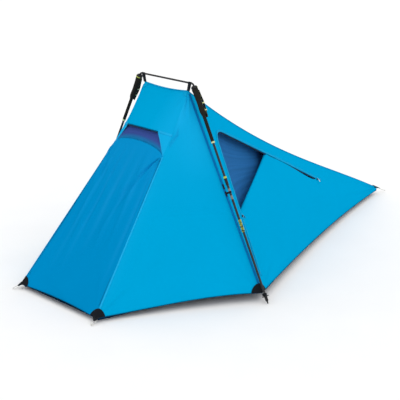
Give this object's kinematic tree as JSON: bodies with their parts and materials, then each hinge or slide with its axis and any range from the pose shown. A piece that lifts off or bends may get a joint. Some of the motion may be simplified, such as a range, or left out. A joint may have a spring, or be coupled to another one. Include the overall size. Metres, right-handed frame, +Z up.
{
  "type": "a-frame shelter tent",
  "caption": "Single-wall A-frame tent on folding walking poles joined by a bent spreader bar, with a hooded vent, a zipped door over insect mesh and a sewn-in tray floor.",
  "frame": {"origin": "on the ground, on the centre line, midway between the two pole tips", "axes": "+X along the centre line to the long tail, -X to the short vented end, -Y to the door side, +Z up"},
  "size_m": [2.8906, 1.5462, 1.1012],
  "materials": {
    "canopy_fabric": "silicone-coated ripstop weave",
    "mesh_fabric": "fine insect mesh",
    "floor_fabric": "coated heavy weave",
    "black_webbing": "woven webbing and reinforcement cloth",
    "zip_tape": "coil zip tape",
    "pale_cord": "braided cord",
    "bar_finish": "satin black anodised tube",
    "shaft_finish": "satin black anodised tube",
    "grip_foam": "closed-cell foam",
    "lime_plastic": "moulded",
    "pale_lime_plastic": "moulded",
    "black_plastic": "moulded",
    "steel": "satin"
  },
  "bodies": {
    "tent": {"hood_panel": "canopy_fabric", "foot_panel": "canopy_fabric", "near_side_panel": "canopy_fabric", "far_side_panel": "canopy_fabric", "ridge_panel": "canopy_fabric", "near_tail_panel": "canopy_fabric", "far_tail_panel": "canopy_fabric", "near_vent_cheek": "canopy_fabric", "far_vent_cheek": "canopy_fabric", "vent_mesh": "mesh_fabric", "floor": "floor_fabric", "door_zip_tape": "zip_tape", "brim_rod": "black_plastic", "near_pole_foot_patch": "black_webbing", "far_pole_foot_patch": "black_webbing", "near_foot_patch": "black_webbing", "far_foot_patch": "black_webbing", "tail_patch": "black_webbing", "near_peg_loop": "pale_cord", "far_peg_loop": "pale_cord", "tail_peg_loop": "pale_cord", "spreader_bar": "bar_finish", "near_bar_loop": "black_webbing", "far_bar_loop": "black_webbing", "near_pole_tip": "black_plastic", "near_basket": "black_plastic", "near_lower_shaft": "shaft_finish", "near_lower_joint": "lime_plastic", "near_middle_shaft": "shaft_finish", "near_upper_joint": "lime_plastic", "near_upper_shaft": "shaft_finish", "near_collar_ring": "pale_lime_plastic", "near_grip_extension": "grip_foam", "near_grip": "grip_foam", "near_grip_cap": "lime_plastic", "near_tension_cord": "pale_cord", "near_mid_pole_tie": "black_webbing", "near_pole_foot_tie": "black_webbing", "far_pole_tip": "black_plastic", "far_basket": "black_plastic", "far_lower_shaft": "shaft_finish", "far_lower_joint": "lime_plastic", "far_middle_shaft": "shaft_finish", "far_upper_joint": "lime_plastic", "far_upper_shaft": "shaft_finish", "far_collar_ring": "pale_lime_plastic", "far_grip_extension": "grip_foam", "far_grip": "grip_foam", "far_grip_cap": "lime_plastic", "far_tension_cord": "pale_cord", "far_mid_pole_tie": "black_webbing", "far_pole_foot_tie": "black_webbing"},
    "door_flap_leaf": {"door_flap": "canopy_fabric"},
    "top_slider": {"top_zip_slider": "pale_cord"},
    "side_slider": {"side_zip_slider": "zip_tape"},
    "mesh_leaf": {"mesh_door": "mesh_fabric"},
    "near_button": {"near_lock_button": "steel"},
    "far_button": {"far_lock_button": "steel"},
    "near_strap": {"near_wrist_strap": "black_webbing"},
    "far_strap": {"far_wrist_strap": "black_webbing"}
  },
  "joints": [
    {"name": "door_flap_fold", "type": "hinge", "parent": "tent", "child": "door_flap_leaf", "pos_m": [0.60417, -0.19208, 0.58165], "axis": [0.838, 0.4647, 0.2859], "range_deg": [0, 177], "deforming": ["door_flap"]},
    {"name": "top_slider_travel", "type": "slide", "parent": "tent", "child": "top_slider", "axis": [-0.8885, -0.0738, 0.453], "range_m": [0, 1.07]},
    {"name": "side_slider_travel", "type": "slide", "parent": "tent", "child": "side_slider", "axis": [0.0805, 0.5054, 0.8591], "range_m": [0, 0.4]},
    {"name": "mesh_door_swing", "type": "hinge", "parent": "tent", "child": "mesh_leaf", "pos_m": [1.19321, -0.0735, 0.27059], "axis": [-0.9041, -0.4053, -0.1352], "range_deg": [0, 60]},
    {"name": "near_button_press", "type": "slide", "parent": "tent", "child": "near_button", "axis": [-1, 0, 0], "range_m": [0, 0.002]},
    {"name": "far_button_press", "type": "slide", "parent": "tent", "child": "far_button", "axis": [1, 0, 0], "range_m": [0, 0.002]},
    {"name": "near_strap_swing", "type": "hinge", "parent": "tent", "child": "near_strap", "pos_m": [0.021, -0.22655, 1.05815], "axis": [0, -0.8892, 0.4575], "range_deg": [0, 100]},
    {"name": "far_strap_swing", "type": "hinge", "parent": "tent", "child": "far_strap", "pos_m": [0.021, 0.22655, 1.05815], "axis": [0, -0.8892, -0.4575], "range_deg": [0, 100]}
  ],
  "couplings": [
    {"joint": "top_slider_travel", "follows": "door_flap_fold", "m_per_rad": 0.346},
    {"joint": "side_slider_travel", "follows": "door_flap_fold", "m_per_rad": 0.129}
  ]
}
